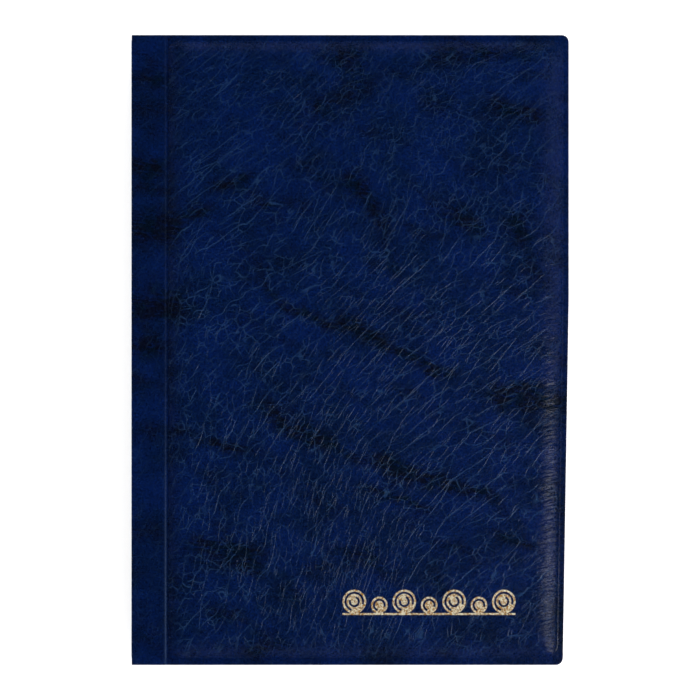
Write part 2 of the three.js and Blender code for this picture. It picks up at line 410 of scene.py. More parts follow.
def section_of_sheet(step):
    """The inside face of the front half of the wrapping sheet, from the spine's middle to the fore edge.

    Returns the place, the outward normal and the cloth coordinate of each station."""
    upright = stations(MIDDLE_Z, (SHEET_Z, 0.6 * MM))[:-1]
    turn = np.linspace(math.pi, math.pi / 2, 7)
    face = stations(
        FOLD_X,
        (GROOVE_X - 0.8 * MM, 0.6 * MM),
        (PAD_LEFT + 0.6 * MM, 0.13 * MM),
        (PAD_LEFT + ROLL_SPINE, 0.3 * MM),
        (PAD_RIGHT - ROLL_FORE, step),
        (PAD_RIGHT, ROLL_STEP),
        (FORE_X - EDGE_ROUND, RIM_STEP),
        (FORE_X, EDGE_ROUND / 3),
    )[1:]
    x = np.concatenate([np.full(len(upright) + len(turn), FOLD_X), face])
    z = np.concatenate([upright, np.full(len(turn) + len(face), SHEET_Z)])
    angle = np.concatenate([np.full(len(upright), math.pi), turn, np.full(len(face), math.pi / 2)])
    arc = SKIN * (angle - math.pi / 2)
    u = (x - arc - (SHEET_Z - z)) / MM
    return x, z, np.cos(angle), np.sin(angle), u


def rows_of_sheet(step):
    return stations(
        FOOT_Y,
        (FOOT_Y + EDGE_ROUND, EDGE_ROUND / 3),
        (PAD_FOOT, RIM_STEP),
        (PAD_FOOT + ROLL_FOOT, ROLL_STEP),
        (PAD_HEAD - ROLL_HEAD, step),
        (PAD_HEAD, ROLL_STEP),
        (HEAD_Y - EDGE_ROUND, RIM_STEP),
        (HEAD_Y, EDGE_ROUND / 3),
    )


def cavity_grid(step, inset):
    """Where the padding lies under the sheet: the grid of x, y and the height over the inside face."""
    x = stations(PAD_LEFT + inset, (PAD_LEFT + ROLL_SPINE, 0.8 * MM), (PAD_RIGHT - ROLL_FORE, step))
    x = np.append(x, stations(x[-1], (PAD_RIGHT - inset, 1.2 * MM))[1:])
    y = stations(PAD_FOOT + inset, (PAD_FOOT + ROLL_FOOT, 1.2 * MM), (PAD_HEAD - ROLL_HEAD, step))
    y = np.append(y, stations(y[-1], (PAD_HEAD - inset, 1.2 * MM))[1:])
    x, y = np.meshgrid(x, y)
    return x, y, PAD_LIFT * pad_rise(x, y, SKIN)


def wrapping_sheet(name, cover, step, streaks, material, back=False):
    """Half of the leatherette: a cover's skin, the fold beside it and half of the spine."""
    x, z, nx, nz, u = section_of_sheet(step)
    y = rows_of_sheet(step)
    column_x, row_y = np.meshgrid(x, y)
    on_face = nz > 0.999
    from_edge = np.minimum(row_y - FOOT_Y, HEAD_Y - row_y)
    from_edge = np.minimum(from_edge, np.where(on_face, FORE_X - column_x, 1))
    thick = cover.thickness(np.where(on_face, column_x, FOLD_X), row_y, from_edge)
    px, py = rounded(column_x, row_y, CORNER_RADIUS, FORE_X, HEAD_Y)
    px = leaned(px, py)
    outside = in_3d(px + nx * thick, py, z + nz * thick)
    inside = in_3d(px, py, np.broadcast_to(z, px.shape))
    middle_u = u[0]
    cloth_u = 2 * middle_u - u if back else u
    cloth_u, cloth_v = np.meshgrid(cloth_u, y / MM)
    place = mirrored if back else (lambda points: points)

    def looks(u_mm, v_mm, rise):
        """The attributes that the leatherette's material reads."""
        across_mm = 2 * middle_u - u_mm if back else u_mm
        from_spine_weld = across_mm - PAD_LEFT / MM
        from_fore_weld = PAD_RIGHT / MM - across_mm
        # Painted shade: darker within a few millimetres of the spine weld, and beside the fore weld towards
        # the foot, where the pad's slopes and the weld's valley lie in shade.
        painted_weld_shade = 0.22 * smooth(5.5, 0.5, from_spine_weld) * (from_spine_weld > 0)
        painted_weld_shade += 0.45 * smooth(2.4, 0.4, from_fore_weld) * smooth(20, -60, v_mm)
        # Painted highlight: a pale line along the groove's spine-side wall, strongest towards the foot,
        # standing in for that wall catching the light.
        from_groove_highlight = across_mm - GROOVE_X / MM + 0.4
        groove_highlight_line = np.exp(-((from_groove_highlight / 0.26) ** 2))
        return {
            "cloth": in_3d(u_mm, v_mm, 0.0),
            # The smoky print, with the painted shade beside the welds folded in.
            "darkening": 1 - (1 - darkening(u_mm, v_mm, streaks)) * (1 - painted_weld_shade),
            "grain": (0.25 + 0.75 * rise) * (1 - 0.3 * smooth(-5, 75, v_mm)),
            "gathered": np.sign(rise) * smooth(9, 3, from_fore_weld) * smooth(60, -60, v_mm),
            "painted_groove_highlight": groove_highlight_line * (0.06 + 0.36 * smooth(5, -75, v_mm)),
        }

    build = Builder()
    rise = np.where(on_face, pad_rise(column_x, row_y), 0)
    top = build.add(place(outside), **looks(cloth_u, cloth_v, rise))
    build.grid(top, flip=back)

    # The cut edges: the foot, the fore edge and the head, then the end at the middle of the spine.
    edge = np.concatenate([inside[0, :-1], inside[:-1, -1], inside[-1, ::-1]])
    edge_looks = looks(
        np.concatenate([cloth_u[0, :-1], cloth_u[:-1, -1], cloth_u[-1, ::-1]]),
        np.concatenate([cloth_v[0, :-1], cloth_v[:-1, -1], cloth_v[-1, ::-1]]),
        np.zeros(len(edge)),
    )
    lower = build.add(place(edge), **edge_looks)
    upper = np.concatenate([top[0, :-1], top[:-1, -1], top[-1, ::-1]])
    build.grid(np.stack([lower, upper]), flip=back)
    build.faces.append([*top[::-1, 0].tolist(), int(lower[0]), int(lower[-1])])

    # Underneath: strips from foot to head up to the field, and a hollow for the padding.
    strips = int(np.searchsorted(x, GROOVE_X - 0.5 * MM))
    foot, head = lower[: strips + 1], lower[::-1][: strips + 1]
    build.grid(np.stack([foot, head]), flip=not back)
    hollow_x, hollow_y, height = cavity_grid(2.5 * MM, SKIN)
    height[[0, -1]] = height[:, [0, -1]] = 0
    hollow = in_3d(leaned(hollow_x, hollow_y), hollow_y, SHEET_Z + height)
    hollow_looks = looks(hollow_x / MM, hollow_y / MM, np.zeros(hollow_x.shape))
    build.grid(build.add(place(hollow), **hollow_looks), flip=not back)
    return build.finish(name, material, fill=True)


def padding(name, material, back=False):
    """The foam between the board and the sheet."""
    x, y, height = cavity_grid(2 * MM, 4.6 * MM)
    top = SHEET_Z + height - 0.05 * MM
    bottom = np.minimum(BOARD_Z + 0.01 * MM, top - 0.1 * MM)
    x = leaned(x, y)
    sheet = (in_3d(x, y, top), in_3d(x, y, bottom))
    build = Builder()
    upper, lower = (mirrored(s) for s in sheet) if back else sheet
    build.sheet(upper, lower, cloth=in_3d(x / MM, y / MM, 0.0))
    return build.finish(name, material)


def inside_sheet(name, cover_low, cover_high, faces_up, material):
    """The lining of a cover, pressed down along the weld round it."""
    step = 2.5 * MM
    weld = 1.7 * MM
    start = cover_low.x
    x = stations(start, (start + 0.4 * MM, 0.2 * MM), (FORE_X - 2 * weld, step))
    x = np.append(x, stations(x[-1], (FORE_X, 0.3 * MM))[1:])
    y = stations(FOOT_Y, (FOOT_Y + 2 * weld, 0.3 * MM), (HEAD_Y - 2 * weld, step), (HEAD_Y, 0.3 * MM))
    x, y = np.meshgrid(x, y)
    from_edge = np.minimum(np.minimum(y - FOOT_Y, HEAD_Y - y), FORE_X - x)
    press = 0.14 * MM * smooth(weld + 0.3 * MM, weld - 0.2 * MM, from_edge)
    press += 0.08 * MM * np.clip(1 - from_edge / (0.25 * MM), 0, 1)
    ridge = 0.06 * MM * np.exp(-(((x - GROOVE_X) / (0.4 * MM)) ** 2))
    low, high = cover_low.z, cover_high.z
    px, py = rounded(x, y, CORNER_RADIUS, FORE_X, HEAD_Y)
    px = leaned(px, py)
    shown = (high - press + ridge) if faces_up else (low + press - ridge)
    hidden = low if faces_up else high
    top, bottom = (shown, hidden) if faces_up else (hidden, shown)
    build = Builder()
    build.sheet(in_3d(px, py, top), in_3d(px, py, bottom), cloth=in_3d(x / MM, y / MM, 0.0))
    return build.finish(name, material)


def film_droop(wave, x, y, root_x):
    """How far a page's film lies off its flat middle, which is nothing at its root."""
    return 0.05 * MM * wave(x / (40 * MM), y / (30 * MM)) * smooth(0, 20 * MM, x - root_x)


def page_sheet(number, material):
    """The base film of a page. Its root lies in a bead of the binding strip."""
    low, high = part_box(f"page_{number}_film")
    middle = (low.z + high.z) / 2
    x = stations(low.x - 0.12 * MM, (low.x + 1 * MM, 0.25 * MM), (high.x, 3 * MM))
    y = stations(low.y, (high.y, 3 * MM))
    fine = stations(high.x - PAGE_CORNER_RADIUS, (high.x, 0.5 * MM))
    x = np.append(x[x < fine[0] - 1e-6], fine)
    ends = stations(high.y - PAGE_CORNER_RADIUS, (high.y, 0.5 * MM))
    y = np.concatenate([-ends[::-1], y[np.abs(y) < ends[0] - 1e-6], ends])
    x, y = np.meshgrid(x, y)
    droop = film_droop(Noise(PAGE_SEED + number), x, y, low.x)
    px, py = rounded(x, y, PAGE_CORNER_RADIUS, high.x, high.y)
    top = in_3d(px, py, middle + FILM / 2 + droop)
    bottom = in_3d(px, py, middle - FILM / 2 + droop)
    build = Builder()
    build.sheet(top, bottom, cloth=in_3d((x - low.x) / MM, (y - low.y) / MM, 0.0))
    return build.finish(f"page_{number}_sheet", material)


def page_pockets(number, material):
    """The four pocket strips of a page, welded round each pocket and slack between the welds."""
    film_low, film_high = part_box(f"page_{number}_film")
    wave = Noise(PAGE_SEED + number)
    build = Builder()
    for row in range(1, 5):
        low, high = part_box(f"page_{number}_pockets_row_{row}")
        width = (high.x - low.x) / POCKET_COLUMNS
        cell = stations(0, (2 * WELD_HALF, 0.6 * MM), (width - 2 * WELD_HALF, 2 * MM), (width, 0.6 * MM))
        cells = [cell[:-1] + width * i for i in range(POCKET_COLUMNS)]
        x = low.x + np.concatenate([*cells, [high.x - low.x]])
        share = stations(0, (0.08, 0.02), (0.9, 0.06), (1, 0.02))
        x, share = np.meshgrid(x, share)
        off_middle = np.abs((x - low.x) % width - width / 2)
        notch = NOTCH_DEPTH * np.sqrt(np.clip(1 - (2 * off_middle / NOTCH_WIDTH) ** 2, 0, 1))
        y = low.y + share * (high.y - notch - low.y)
        sides = smooth(WELD_HALF, WELD_HALF + 5 * MM, width / 2 - off_middle)
        foot = smooth(WELD_HALF, WELD_HALF + 6 * MM, y - low.y)
        slack = 0.75 + 0.35 * wave(x / (23 * MM) + row, y / (17 * MM) + 3 * row)
        gape = PILLOW * sides * foot * slack
        droop = film_droop(wave, x, y, film_low.x)
        base = (film_low.z + film_high.z) / 2 + FILM / 2 + 0.01 * MM + droop + gape
        top, bottom = in_3d(x, y, base + FILM), in_3d(x, y, base)
        cloth = in_3d((x - film_low.x) / MM, (y - film_low.y) / MM, 0.0)
        build.sheet(top, bottom, cloth=cloth)
    return build.finish(f"page_{number}_pockets", material)


def binding_beads(material):
    """The strip inside the spine, with a welded bead along the root of each page."""
    outline = [(binding_low.x, binding_low.z)]
    for number in range(PAGES, 0, -1):
        low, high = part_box(f"page_{number}_film")
        middle = (low.z + high.z) / 2
        root = low.x - 0.1 * MM
        reach = root - binding_high.x
        start = math.acos(-reach / BEAD_RADIUS)
        for angle in np.linspace(-start, start, 9):
            outline.append((root + BEAD_RADIUS * math.cos(angle), middle + BEAD_RADIUS * math.sin(angle)))
    outline.append((binding_low.x, binding_high.z))
    outline.insert(1, (binding_high.x, binding_low.z))
    outline.insert(-1, (binding_high.x, binding_high.z))
    section = np.array([*outline, outline[0]])
    y = stations(binding_low.y, (binding_high.y, 4 * MM))
    grid_y, grid_x = np.meshgrid(y, section[:, 0], indexing="ij")
    grid_z = np.broadcast_to(section[:, 1], grid_x.shape)
    build = Builder()
    index = build.add(
        in_3d(grid_x, grid_y, grid_z)[:, :-1],
        cloth=in_3d(grid_z / MM, grid_y / MM, 0.0)[:, :-1],
    )
    ring = np.concatenate([index, index[:, :1]], axis=1)
    build.grid(ring)
    build.faces.append(index[0].tolist())
    build.faces.append(index[-1, ::-1].tolist())
    return build.finish("binding_beads", material)


def coin_field(x, y, centre_x, centre_y, radius, rings):
    """Below 0 on the foil of one coin: a disc cut by open rings."""
    dx, dy = x - centre_x, y - centre_y
    out = np.hypot(dx, dy)
    field = out - radius
    for index, share in enumerate(rings):
        start = RING_START + index * math.pi
        turn = (np.arctan2(dy, dx) - start) % (2 * math.pi)
        past_end = np.minimum(turn - RING_SWEEP, 2 * math.pi - turn) * share * radius
        cut = np.maximum(np.abs(out - share * radius) - RING_CUT / 2, past_end)
        field = np.maximum(field, -cut)
    return field


def emblem_field(x, y):
    """Below 0 where there is foil: coins standing on a rule, with edges ragged from wear and flecks missing.
    """
    rule_top = foil_low.y + FOIL_RULE
    past_ends = np.maximum(foil_low.x - x, x - foil_high.x)
    field = np.maximum(past_ends, np.maximum(foil_low.y - y, y - rule_top))
    kinds = [SMALL_COIN if i % 2 else LARGE_COIN for i in range(COINS)]
    widths = sum(2 * radius for radius, _ in kinds)
    gap = (foil_high.x - foil_low.x - widths) / (COINS - 1)
    edge = foil_low.x
    for radius, rings in kinds:
        coin = coin_field(x, y, edge + radius, rule_top - COIN_SINK + radius, radius, rings)
        field = np.minimum(field, coin)
        edge += 2 * radius + gap
    ragged, fine, coarse = (Noise(FOIL_SEED + i) for i in range(3))
    flecks = fine(x / (0.55 * MM), y / (0.55 * MM)) + 0.5 * coarse(x / (1.8 * MM), y / (1.8 * MM))
    field = field + 0.035 * MM * ragged(x / (0.42 * MM), y / (0.42 * MM))
    return np.maximum(field, (flecks - 0.86) * 0.4 * MM)


def foil_emblem(cover, material):
    """The foil as a thin sheet cut along the edge of the emblem's field, lying on the cover."""
    margin = 2 * FOIL_STEP
    x = np.arange(foil_low.x - margin, foil_high.x + margin, FOIL_STEP)
    y = np.arange(foil_low.y - margin, foil_high.y + margin, FOIL_STEP)
    x, y = np.meshgrid(x, y)
    field = emblem_field(x, y)
    points, found, faces = [], {}, []

    def point(a, b):
        """The corner a, or the place on the side from a to b where the field is 0."""
        key = (a, b) if a <= b else (b, a)
        if key not in found:
            t = 0.0 if a == b else field[key[0]] / (field[key[0]] - field[key[1]])
            start, end = (np.array([x[k], y[k]]) for k in key)
            found[key] = len(points)
            points.append(start + t * (end - start))
        return found[key]

    solid = field < 0
    touched = solid[:-1, :-1] | solid[:-1, 1:] | solid[1:, 1:] | solid[1:, :-1]
    for row, column in zip(*np.nonzero(touched)):
        ring = [(row, column), (row, column + 1), (row + 1, column + 1), (row + 1, column)]
        ring = [(int(r), int(c)) for r, c in ring]
        face = []
        for a, b in zip(ring, ring[1:] + ring[:1]):
            if solid[a]:
                face.append(point(a, a))
            if solid[a] != solid[b]:
                face.append(point(a, b))
        faces.append(face)
    flat = np.array(points)
    lift = cover.thickness(flat[:, 0], flat[:, 1], 1.0)
    px, py = leaned(flat[:, 0], flat[:, 1]), flat[:, 1]
    low = in_3d(px, py, SHEET_Z + lift - 0.02 * MM)
    build = Builder()
    cloth = in_3d(flat[:, 0] / MM, flat[:, 1] / MM, 0.0)
    upper = build.add(low + [0, 0, FOIL_THICK], cloth=cloth)
    build.add(low, cloth=cloth)
    below = len(points)
    build.faces += [list(face) for face in faces]
    build.faces += [[i + below for i in face[::-1]] for face in faces]
    pairs = {(a, b) for face in faces for a, b in zip(face, face[1:] + face[:1])}
    build.faces += [[b, a, a + below, b + below] for a, b in pairs if (b, a) not in pairs]
    return build.finish("foil_coins", material)


# ---------------------------------------------------------------- materials


class Shader:
    """A node material, with short ways to add the nodes that the materials here use."""

    def __init__(self, name):
        self.material = bpy.data.materials.new(name)
        self.material.use_nodes = True
        self.nodes, self.links = self.material.node_tree.nodes, self.material.node_tree.links
        self.nodes.clear()

    def node(self, kind, inputs=None, **settings):
        made = self.nodes.new("ShaderNode" + kind)
        for key, value in settings.items():
            setattr(made, key, value)
        for key, value in (inputs or {}).items():
            if isinstance(value, bpy.types.NodeSocket):
                self.links.new(value, made.inputs[key])
            else:
                made.inputs[key].default_value = value
        return made

    def attribute(self, name):
        made = self.node("Attribute", attribute_name=name)
        return made.outputs["Vector" if name == "cloth" else "Fac"]

    def math(self, operation, a, b=0.0, clamp=False):
        return self.node("Math", {0: a, 1: b}, operation=operation, use_clamp=clamp).outputs[0]

    def stretched(self, vector, angle, along, across):
        """Coordinates in which a feature is `along` long in the angle's direction and `across` wide."""
        turn = self.node("VectorRotate", {"Vector": vector, "Angle": -angle}, rotation_type="Z_AXIS")
        size = (1 / along, 1 / across, 1.0)
        return self.node("VectorMath", {0: turn.outputs[0], 1: size}, operation="MULTIPLY").outputs[0]

    def noise(self, vector, scale=1.0, detail=2.0, roughness=0.5, distortion=0.0):
        inputs = {"Scale": scale, "Detail": detail, "Roughness": roughness, "Distortion": distortion}
        return self.node("TexNoise", {"Vector": vector, **inputs}).outputs["Fac"]

    def remap(self, value, low, high, to_low=0.0, to_high=1.0):
        inputs = {"Value": value, "From Min": low, "From Max": high, "To Min": to_low, "To Max": to_high}
        return self.node("MapRange", inputs, interpolation_type="SMOOTHSTEP").outputs[0]

    def moved(self, vector, colour, distance):
        """Coordinates pushed about by a colour, up to half the distance each way."""
        push = self.node("VectorMath", {0: colour, 1: (0.5, 0.5, 0.5)}, operation="SUBTRACT").outputs[0]
        push = self.node("VectorMath", {0: push, "Scale": distance}, operation="SCALE").outputs[0]
        return self.node("VectorMath", {0: vector, 1: push}, operation="ADD").outputs[0]

    def mix(self, share, a, b):
        made = self.node("Mix", {"Factor": share}, data_type="RGBA")
        for key, value in (("A_Color", a), ("B_Color", b)):
            socket = next(s for s in made.inputs if s.identifier == key)
            if isinstance(value, bpy.types.NodeSocket):
                self.links.new(value, socket)
            else:
                socket.default_value = value
        return next(s for s in made.outputs if s.identifier == "Result_Color")

    def bump(self, height, depth, normal=None):
        inputs = {"Height": height, "Strength": 1.0, "Distance": depth}
        if normal is not None:
            inputs["Normal"] = normal
        return self.node("Bump", inputs).outputs[0]

    def done(self, surface):
        out = self.node("OutputMaterial")
        self.links.new(surface, out.inputs["Surface"])
        return self.material

    def principled(self, **inputs):
        names = {key.replace("_", " "): value for key, value in inputs.items()}
        return self.done(self.node("BsdfPrincipled", names).outputs[0])


def srgb(red, green, blue, alpha=1.0):
    """A colour given as 0 to 255 display values."""
    shares = [value / 255 for value in (red, green, blue)]
    linear = [c / 12.92 if c <= 0.04045 else ((c + 0.055) / 1.055) ** 2.4 for c in shares]
    return (*linear, alpha)


def crease_family(s, cloth, seed, angle, period, half_width, segment, weakest, strongest, bend, wiggle):
    """Broken lines that run side by side at an angle, a period apart, and wander. Lengths in mm.

    weakest and strongest are the noise values between which a stretch of line comes to its full depth."""
    turn = s.node("VectorRotate", {"Vector": cloth, "Angle": -math.radians(angle)}, rotation_type="Z_AXIS")

    def noise(along, across, layer, detail=0.0):
        size, shift = (1 / along, 1 / across, 1.0), (0.0, 0.0, seed + 0.31 * layer + 0.4)
        inputs = {0: turn.outputs[0], 1: size, 2: shift}
        return s.noise(s.node("VectorMath", inputs, operation="MULTIPLY_ADD").outputs[0], detail=detail)

    across = s.node("SeparateXYZ", {0: turn.outputs[0]}).outputs[1]
    bent = s.math("MULTIPLY", noise(*bend[1:], 0), bend[0])
    wiggled = s.math("MULTIPLY", noise(wiggle[1], wiggle[1], 1, 2.0), wiggle[0])
    phase = s.math("ADD", s.math("ADD", s.math("DIVIDE", across, period), bent), wiggled)
    off = s.math("ABSOLUTE", s.math("SUBTRACT", s.math("FRACT", phase), 0.5))
    line = s.remap(off, 0.0, half_width / period, 1.0, 0.0)
    return s.math("MULTIPLY", line, s.remap(noise(segment, 0.8 * period, 2, 1.0), weakest, strongest))


def steepened(s, cloth):
    """Coordinates sheared so that creases stand more upright towards the foot of the spine side."""
    parts = s.node("SeparateXYZ", {0: cloth})
    near_spine = s.remap(parts.outputs[0], -50.0, 20.0, 1.0, 0.0)
    shift = s.math("MULTIPLY", near_spine, s.remap(parts.outputs[1], 25.0, -85.0, 0.0, -26.0))
    shift = s.node("CombineXYZ", {0: shift}).outputs[0]
    return s.node("VectorMath", {0: cloth, 1: shift}, operation="ADD").outputs[0]


def crease_cells(s, cloth, angle, length, width, half_width):
    """The borders of cells that are drawn out at an angle: creases that meet and part. Lengths in mm."""
    wander = s.node("TexNoise", {"Vector": cloth, "Scale": 0.5 / width, "Detail": 1.0}).outputs["Color"]
    cells = s.stretched(s.moved(cloth, wander, 0.6 * width), math.radians(angle), length, width)
    edge = s.node("TexVoronoi", {"Vector": cells, "Scale": 1.0}, feature="DISTANCE_TO_EDGE")
    line = s.remap(edge.outputs["Distance"], 0.0, half_width / width, 1.0, 0.0)
    return s.math("MULTIPLY", line, s.remap(s.noise(cloth, 0.5 / width, detail=2.0), 0.4, 0.62, 0.15, 1.0))


def leather_creases(s, cloth, grain):
    """The leather's long creases, its short fine ones, and the cells between them."""
    drift = s.node("TexNoise", {"Vector": cloth, "Scale": 0.014, "Detail": 0.0}).outputs["Color"]
    place = s.moved(steepened(s, cloth), drift, 26.0)
    # How far the lines stray, in periods, and over what lengths in mm.
    long_bend, long_wiggle = (1.3, 26.0, 14.0), (0.34, 4.5)
    short_bend, short_wiggle = (1.9, 16.0, 9.0), (0.34, 2.5)
    # Seed, angle in degrees, period, half width, length of a stretch, weakest, strongest, and strength.
    long_ones = (
        (1, 46, 3.2, 0.15, 13.0, 0.4, 0.64, 1.0),
        (2, 61, 4.0, 0.15, 10.0, 0.44, 0.66, 0.8),
        (3, 31, 3.9, 0.15, 9.0, 0.45, 0.65, 0.75),
        (4, 8, 4.2, 0.13, 5.0, 0.46, 0.66, 0.5),
    )
    short_ones = ((6, 41, 1.3, 0.12, 3.0, 0.44, 0.66, 0.24),)
    depth = s.math("MULTIPLY", crease_cells(s, place, 50, 5.0, 2.4, 0.11), 0.75)
    both = ((long_ones, long_bend, long_wiggle), (short_ones, short_bend, short_wiggle))
    for kinds, bend, wiggle in both:
        for *shape, strength in kinds:
            family = crease_family(s, place, *shape, bend, wiggle)
            depth = s.math("MAXIMUM", depth, s.math("MULTIPLY", family, strength))
    return s.math("MULTIPLY", depth, grain)


def leatherette():
    """Navy leatherette with a smoky black print: grained, and paler in its creases, partly from the print
    and partly by a painted highlight on the crease walls. It also carries painted shade beside the welds and
    a painted highlight along the groove.
    """
    s = Shader("leatherette")
    cloth, grain = s.attribute("cloth"), s.attribute("grain")
    creases = leather_creases(s, cloth, grain)

    # Colour: a navy ground, the smoky print with painted shade beside the welds, fine specks, then the
    # creases, paler partly by a painted highlight, and a painted highlight along the groove.
    tone = s.noise(cloth, 0.06, detail=4.0, roughness=0.7)
    colour = s.mix(s.remap(tone, 0.35, 0.65), srgb(3, 21, 57), srgb(4, 26, 77))
    brushed = s.stretched(cloth, SMOKE_ANGLE + 0.3, 2.6, 0.9)
    breakup = s.noise(brushed, detail=4.0, roughness=0.65)
    # This darkening is the smoky print together with the painted shade beside the welds.
    dark = s.math("MULTIPLY", s.attribute("darkening"), s.remap(breakup, 0.34, 0.58, 0.45, 1.4), clamp=True)
    tint = s.mix(s.remap(s.noise(cloth, 0.2, detail=2.0), 0.45, 0.6), srgb(7, 9, 18), srgb(2, 12, 23))
    colour = s.mix(s.math("MULTIPLY", dark, 0.88), colour, tint)
    speck = s.remap(s.noise(cloth, 1.9, detail=3.0, roughness=0.7), 0.3, 0.7, 0.37, 1.63)
    colour = s.node("VectorMath", {0: colour, 1: speck}, operation="MULTIPLY").outputs[0]
    # Paler creases: partly the print's lighter valleys, partly a painted highlight of the crease walls
    # catching the light.
    colour = s.mix(s.math("MULTIPLY", creases, 0.7), colour, srgb(44, 76, 118))
    # Painted highlight along the groove's spine-side wall.
    colour = s.mix(s.attribute("painted_groove_highlight"), colour, srgb(60, 84, 124))

    # Relief: fine grain, the creases, and the gathers along the fore edge.
    fine = s.noise(cloth, 2.2, detail=3.0, roughness=0.65)
    gathers = s.noise(s.stretched(cloth, 0.2, 6.0, 1.1), detail=3.0, roughness=0.6)
    gathers = s.math("MULTIPLY", s.math("MULTIPLY", gathers, s.attribute("gathered")), 8.0)
    fine = s.math("MULTIPLY", s.math("MULTIPLY", fine, grain), 0.8)
    height = s.math("SUBTRACT", fine, s.math("MULTIPLY", creases, 0.88))
    height = s.math("ADD", height, gathers)
    rough = s.remap(s.noise(cloth, 0.8, detail=3.0), 0.3, 0.7, 0.22, 0.31)
    return s.principled(
        Base_Color=colour,
        Roughness=rough,
        Specular_IOR_Level=0.4,
        Normal=s.bump(height, 0.06 * MM),
    )


def lining_vinyl():
    """Thin navy sheet with a fine linen press."""
    s = Shader("lining_vinyl")
    cloth = s.attribute("cloth")
    wave = {"Vector": cloth, "Scale": 0.5, "Distortion": 0.6, "Detail": 1.0}
    warp = s.node("TexWave", wave)
    weft = s.node("TexWave", wave, bands_direction="Y")
    weave = s.math("MULTIPLY", warp.outputs["Fac"], weft.outputs["Fac"])
    tone = s.noise(cloth, 0.06, detail=3.0)
    colour = s.mix(tone, srgb(12, 24, 52), srgb(17, 31, 64))
    colour = s.mix(s.math("MULTIPLY", weave, 0.35), colour, srgb(30, 45, 82))
    rough = s.remap(s.noise(cloth, 0.5, detail=3.0), 0.3, 0.7, 0.42, 0.58)
    return s.principled(Base_Color=colour, Roughness=rough, Normal=s.bump(weave, 0.03 * MM))


def clear_vinyl(name, haze_of_field):
    """Clear film, hazy where it is welded, with a soft gloss."""
    s = Shader(name)
    cloth = s.attribute("cloth")
    parts = s.node("SeparateXYZ", {0: cloth})
    weld = 0.0
    places = ((parts.outputs[0], POCKETS_START, POCKET_WIDTH), (parts.outputs[1], 0.0, POCKET_PITCH))
    for place, start, pitch in places:
        shifted = s.math("FLOORED_MODULO", s.math("SUBTRACT", place, start - pitch / 2), pitch)
        off_weld = s.math("ABSOLUTE", s.math("SUBTRACT", shifted, pitch / 2))
        weld = s.math("MAXIMUM", weld, s.remap(off_weld, *WELD_FADE, 1.0, 0.0))
    weld = s.math("MULTIPLY", weld, s.math("GREATER_THAN", parts.outputs[0], POCKETS_START - WELD_REACH))
    wave = {"Vector": cloth, "Scale": 0.9}
    serration = s.node("TexWave", wave, bands_direction="DIAGONAL").outputs["Fac"]
    cloudy = s.noise(cloth, 0.15, detail=3.0)
    haze = s.remap(cloudy, 0.3, 0.7, 0.4 * haze_of_field, haze_of_field)
    haze = s.math("ADD", haze, s.math("MULTIPLY", weld, 0.34))
    height = s.math("ADD", s.math("MULTIPLY", s.math("MULTIPLY", serration, weld), 0.5), cloudy)
    normal = s.bump(height, 0.05 * MM)
    clear = s.node("BsdfTransparent", {"Color": (0.955, 0.975, 0.985, 1.0)}).outputs[0]
    milky = s.node("BsdfDiffuse", {"Color": srgb(224, 232, 238), "Normal": normal}).outputs[0]
    gloss = s.node("BsdfGlossy", {"Color": (1, 1, 1, 1), "Roughness": 0.16, "Normal": normal}).outputs[0]
    body = s.node("MixShader", {0: haze, 1: clear, 2: milky}).outputs[0]
    shine = s.math("MINIMUM", s.node("Fresnel", {"IOR": 1.46, "Normal": normal}).outputs[0], 0.14)
    return s.done(s.node("MixShader", {0: shine, 1: body, 2: gloss}).outputs[0])


def gold_foil():
    """Hot-stamped foil: pale gold, glittering, with the leather's grain and brown specks of wear."""
    s = Shader("gold_foil")
    cloth = s.attribute("cloth")
    glitter = s.node("TexVoronoi", {"Vector": cloth, "Scale": 2.8}, feature="F1")
    flake = s.node("SeparateXYZ", {0: glitter.outputs["Color"]}).outputs[0]
    flake = s.remap(flake, 0.1, 0.7)
    colour = s.mix(flake, srgb(190, 140, 66), srgb(255, 244, 214))
    specks = s.remap(s.noise(cloth, 1.9, detail=4.0, roughness=0.7), 0.53, 0.62)
    colour = s.mix(s.math("MULTIPLY", specks, 0.8), colour, srgb(120, 84, 44))
    height = s.math("ADD", flake, s.noise(cloth, 2.5, detail=3.0))
    return s.principled(
        Base_Color=colour,
        Metallic=0.25,
        Roughness=0.35,
        Normal=s.bump(height, 0.05 * MM),
    )


def grey_board():
    s = Shader("grey_board")
    place = s.node("TexCoord").outputs["Object"]
    fibres = s.noise(place, 900.0, detail=5.0, roughness=0.7)
    colour = s.mix(fibres, srgb(128, 120, 108), srgb(168, 160, 146))
    return s.principled(Base_Color=colour, Roughness=0.9, Normal=s.bump(fibres, 0.05 * MM))


def foam():
    s = Shader("padding_foam")
    cells = s.node("TexVoronoi", {"Vector": s.attribute("cloth"), "Scale": 2.2}, feature="DISTANCE_TO_EDGE")
    walls = s.remap(cells.outputs["Distance"], 0.02, 0.2)
    colour = s.mix(walls, srgb(236, 234, 226), srgb(212, 210, 202))
    return s.principled(Base_Color=colour, Roughness=0.95, Normal=s.bump(walls, 0.1 * MM))


def binding_vinyl():
    s = Shader("binding_vinyl")
    cloth = s.attribute("cloth")
    tone = s.noise(cloth, 0.3, detail=3.0)
    colour = s.mix(tone, srgb(168, 178, 190), srgb(196, 204, 212))
    wave = {"Vector": cloth, "Scale": 0.8, "Detail": 1.0}
    ribs = s.node("TexWave", wave, bands_direction="Y").outputs["Fac"]
    return s.principled(Base_Color=colour, Roughness=0.4, Normal=s.bump(ribs, 0.03 * MM))


